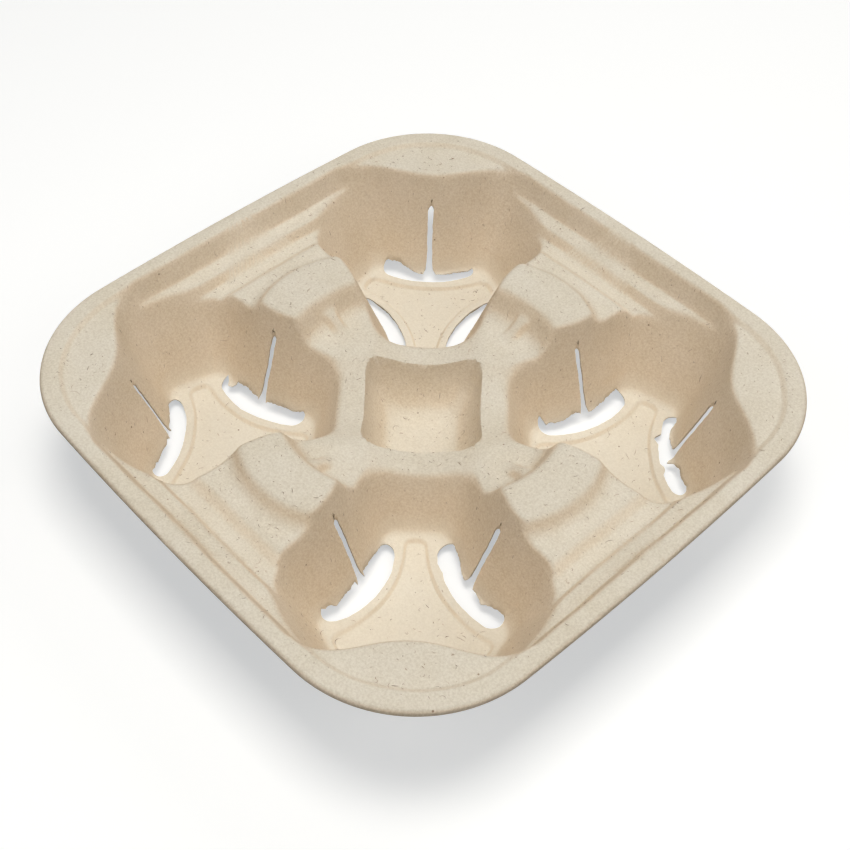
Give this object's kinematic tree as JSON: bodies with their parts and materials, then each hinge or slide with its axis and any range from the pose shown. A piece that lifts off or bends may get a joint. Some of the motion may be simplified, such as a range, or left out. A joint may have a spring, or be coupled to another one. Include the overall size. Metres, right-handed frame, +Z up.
{
  "type": "cup carrier",
  "caption": "Square tray of moulded paper pulp that carries drinks cups in tapered three-lobed wells, each with slotted tabs, round a middle pocket.",
  "frame": {"origin": "middle of the tray, on the plane that its cup floors stand on", "axes": "+Z up, X and Y square to the tray's sides"},
  "size_m": [0.2146, 0.2146, 0.0452],
  "materials": {
    "pulp": "matt, felted fibre with fine brown specks"
  },
  "bodies": {
    "root": {"carrier_tray": "pulp"}
  },
  "joints": []
}
